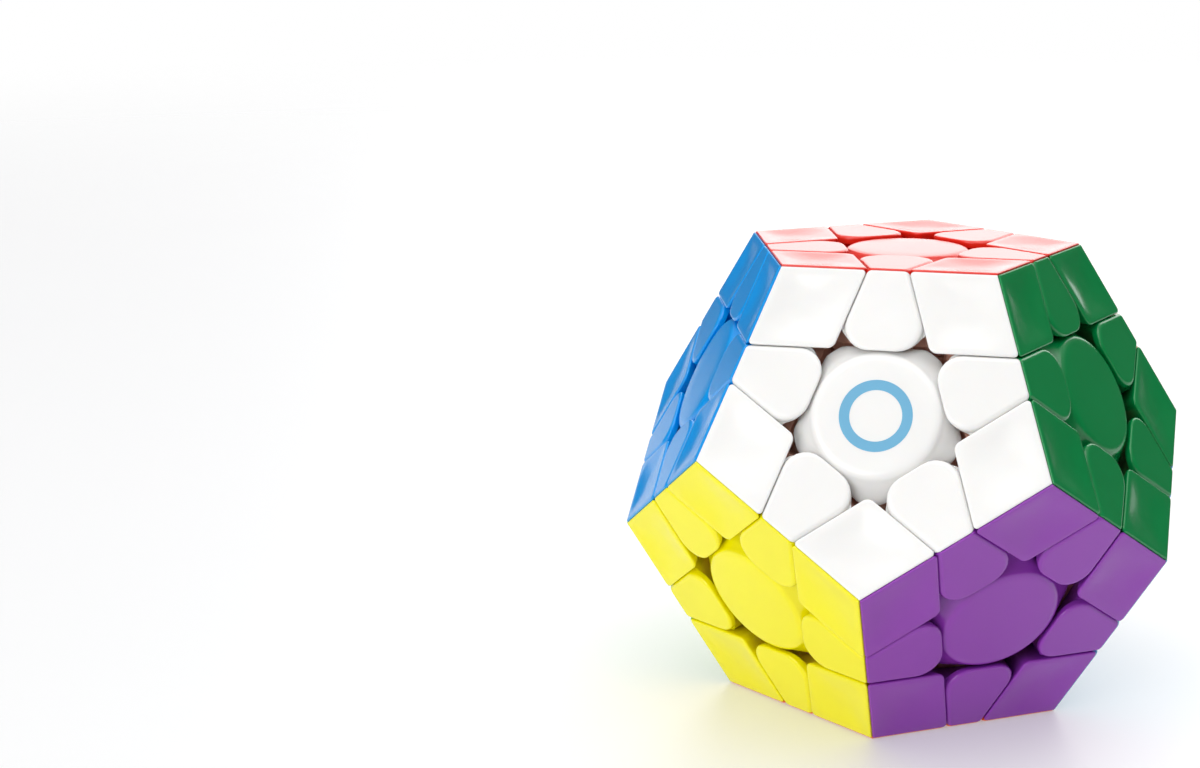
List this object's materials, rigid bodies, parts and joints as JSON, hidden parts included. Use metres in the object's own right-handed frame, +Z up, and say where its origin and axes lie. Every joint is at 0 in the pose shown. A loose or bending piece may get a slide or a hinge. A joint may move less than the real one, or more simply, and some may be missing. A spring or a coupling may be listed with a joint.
{
  "type": "twisty puzzle",
  "caption": "Face-turning dodecahedral twisty puzzle with a round centre, five edge tongues and five corner facelets on each coloured face.",
  "frame": {"origin": "on the resting face's plane, under the middle of the puzzle", "axes": "+Z up through the red face; -Y is the side the white face leans towards; +Y is the longest extent"},
  "size_m": [0.0876, 0.0922, 0.0746],
  "materials": {
    "white_plastic": "glossy moulded ABS, through-coloured",
    "red_plastic": "glossy moulded ABS, through-coloured",
    "orange_plastic": "glossy moulded ABS, through-coloured",
    "green_plastic": "glossy moulded ABS, through-coloured",
    "blue_plastic": "glossy moulded ABS, through-coloured",
    "yellow_plastic": "glossy moulded ABS, through-coloured",
    "purple_plastic": "glossy moulded ABS, through-coloured",
    "light_blue_plastic": "glossy moulded ABS, through-coloured",
    "cream_plastic": "glossy moulded ABS, through-coloured",
    "pink_plastic": "glossy moulded ABS, through-coloured",
    "grey_plastic": "glossy moulded ABS, through-coloured",
    "lime_plastic": "glossy moulded ABS, through-coloured",
    "foot_plastic": "satin moulded ABS",
    "core_plastic": "satin moulded nylon",
    "nut_plastic": "satin moulded acetal",
    "screw_steel": "zinc-plated steel",
    "spring_steel": "drawn spring steel wire",
    "magnet_steel": "nickel-plated neodymium"
  },
  "bodies": {
    "frame": {"core": "core_plastic", "frame_corner_feet": "foot_plastic", "frame_cream_shells": "cream_plastic", "frame_edge_feet": "foot_plastic", "frame_grey_shells": "grey_plastic", "frame_light_blue_shells": "light_blue_plastic", "frame_lime_shells": "lime_plastic", "frame_magnets": "magnet_steel", "frame_pink_shells": "pink_plastic", "frame_purple_shells": "purple_plastic", "frame_red_shells": "red_plastic", "frame_white_shells": "white_plastic", "frame_yellow_shells": "yellow_plastic", "tension_nuts": "nut_plastic", "tension_screws": "screw_steel", "tension_springs": "spring_steel", "washers": "screw_steel"},
    "blue_layer": {"blue_centre_base": "blue_plastic", "blue_centre_cap": "blue_plastic", "blue_layer_blue_shells": "blue_plastic", "blue_layer_corner_feet": "foot_plastic", "blue_layer_edge_feet": "foot_plastic", "blue_layer_lime_shells": "lime_plastic", "blue_layer_magnets": "magnet_steel", "blue_layer_pink_shells": "pink_plastic", "blue_layer_red_shells": "red_plastic", "blue_layer_white_shells": "white_plastic", "blue_layer_yellow_shells": "yellow_plastic"},
    "cream_centre": {"cream_centre": "cream_plastic"},
    "green_layer": {"green_centre_base": "green_plastic", "green_centre_cap": "green_plastic", "green_layer_corner_feet": "foot_plastic", "green_layer_cream_shells": "cream_plastic", "green_layer_edge_feet": "foot_plastic", "green_layer_green_shells": "green_plastic", "green_layer_light_blue_shells": "light_blue_plastic", "green_layer_magnets": "magnet_steel", "green_layer_purple_shells": "purple_plastic", "green_layer_red_shells": "red_plastic", "green_layer_white_shells": "white_plastic"},
    "grey_centre": {"grey_centre": "grey_plastic"},
    "light_blue_centre": {"light_blue_centre": "light_blue_plastic"},
    "lime_centre": {"lime_centre": "lime_plastic"},
    "orange_layer": {"orange_centre_base": "orange_plastic", "orange_centre_cap": "orange_plastic", "orange_layer_corner_feet": "foot_plastic", "orange_layer_edge_feet": "foot_plastic", "orange_layer_grey_shells": "grey_plastic", "orange_layer_light_blue_shells": "light_blue_plastic", "orange_layer_lime_shells": "lime_plastic", "orange_layer_magnets": "magnet_steel", "orange_layer_orange_shells": "orange_plastic", "orange_layer_purple_shells": "purple_plastic", "orange_layer_yellow_shells": "yellow_plastic"},
    "pink_centre": {"pink_centre": "pink_plastic"},
    "purple_centre": {"purple_centre": "purple_plastic"},
    "red_centre": {"red_centre": "red_plastic"},
    "white_centre": {"white_centre": "white_plastic"},
    "yellow_centre": {"yellow_centre": "yellow_plastic"}
  },
  "joints": [
    {"name": "red_centre_turn", "type": "hinge", "parent": "frame", "child": "red_centre", "pos_m": [0, 0, 0.0373], "axis": [0, 0, 1], "continuous": true},
    {"name": "orange_layer_turn", "type": "hinge", "parent": "frame", "child": "orange_layer", "pos_m": [0, 0, 0.0373], "axis": [0, 0, -1], "continuous": true},
    {"name": "white_centre_turn", "type": "hinge", "parent": "frame", "child": "white_centre", "pos_m": [0, 0, 0.0373], "axis": [0, -0.8944, 0.4472], "continuous": true},
    {"name": "green_layer_turn", "type": "hinge", "parent": "frame", "child": "green_layer", "pos_m": [0, 0, 0.0373], "axis": [0.8507, -0.2764, 0.4472], "continuous": true},
    {"name": "cream_centre_turn", "type": "hinge", "parent": "frame", "child": "cream_centre", "pos_m": [0, 0, 0.0373], "axis": [0.5257, 0.7236, 0.4472], "continuous": true},
    {"name": "pink_centre_turn", "type": "hinge", "parent": "frame", "child": "pink_centre", "pos_m": [0, 0, 0.0373], "axis": [-0.5257, 0.7236, 0.4472], "continuous": true},
    {"name": "blue_layer_turn", "type": "hinge", "parent": "frame", "child": "blue_layer", "pos_m": [0, 0, 0.0373], "axis": [-0.8507, -0.2764, 0.4472], "continuous": true},
    {"name": "purple_centre_turn", "type": "hinge", "parent": "frame", "child": "purple_centre", "pos_m": [0, 0, 0.0373], "axis": [0.5257, -0.7236, -0.4472], "continuous": true},
    {"name": "light_blue_centre_turn", "type": "hinge", "parent": "frame", "child": "light_blue_centre", "pos_m": [0, 0, 0.0373], "axis": [0.8507, 0.2764, -0.4472], "continuous": true},
    {"name": "grey_centre_turn", "type": "hinge", "parent": "frame", "child": "grey_centre", "pos_m": [0, 0, 0.0373], "axis": [0, 0.8944, -0.4472], "continuous": true},
    {"name": "lime_centre_turn", "type": "hinge", "parent": "frame", "child": "lime_centre", "pos_m": [0, 0, 0.0373], "axis": [-0.8507, 0.2764, -0.4472], "continuous": true},
    {"name": "yellow_centre_turn", "type": "hinge", "parent": "frame", "child": "yellow_centre", "pos_m": [0, 0, 0.0373], "axis": [-0.5257, -0.7236, -0.4472], "continuous": true}
  ]
}
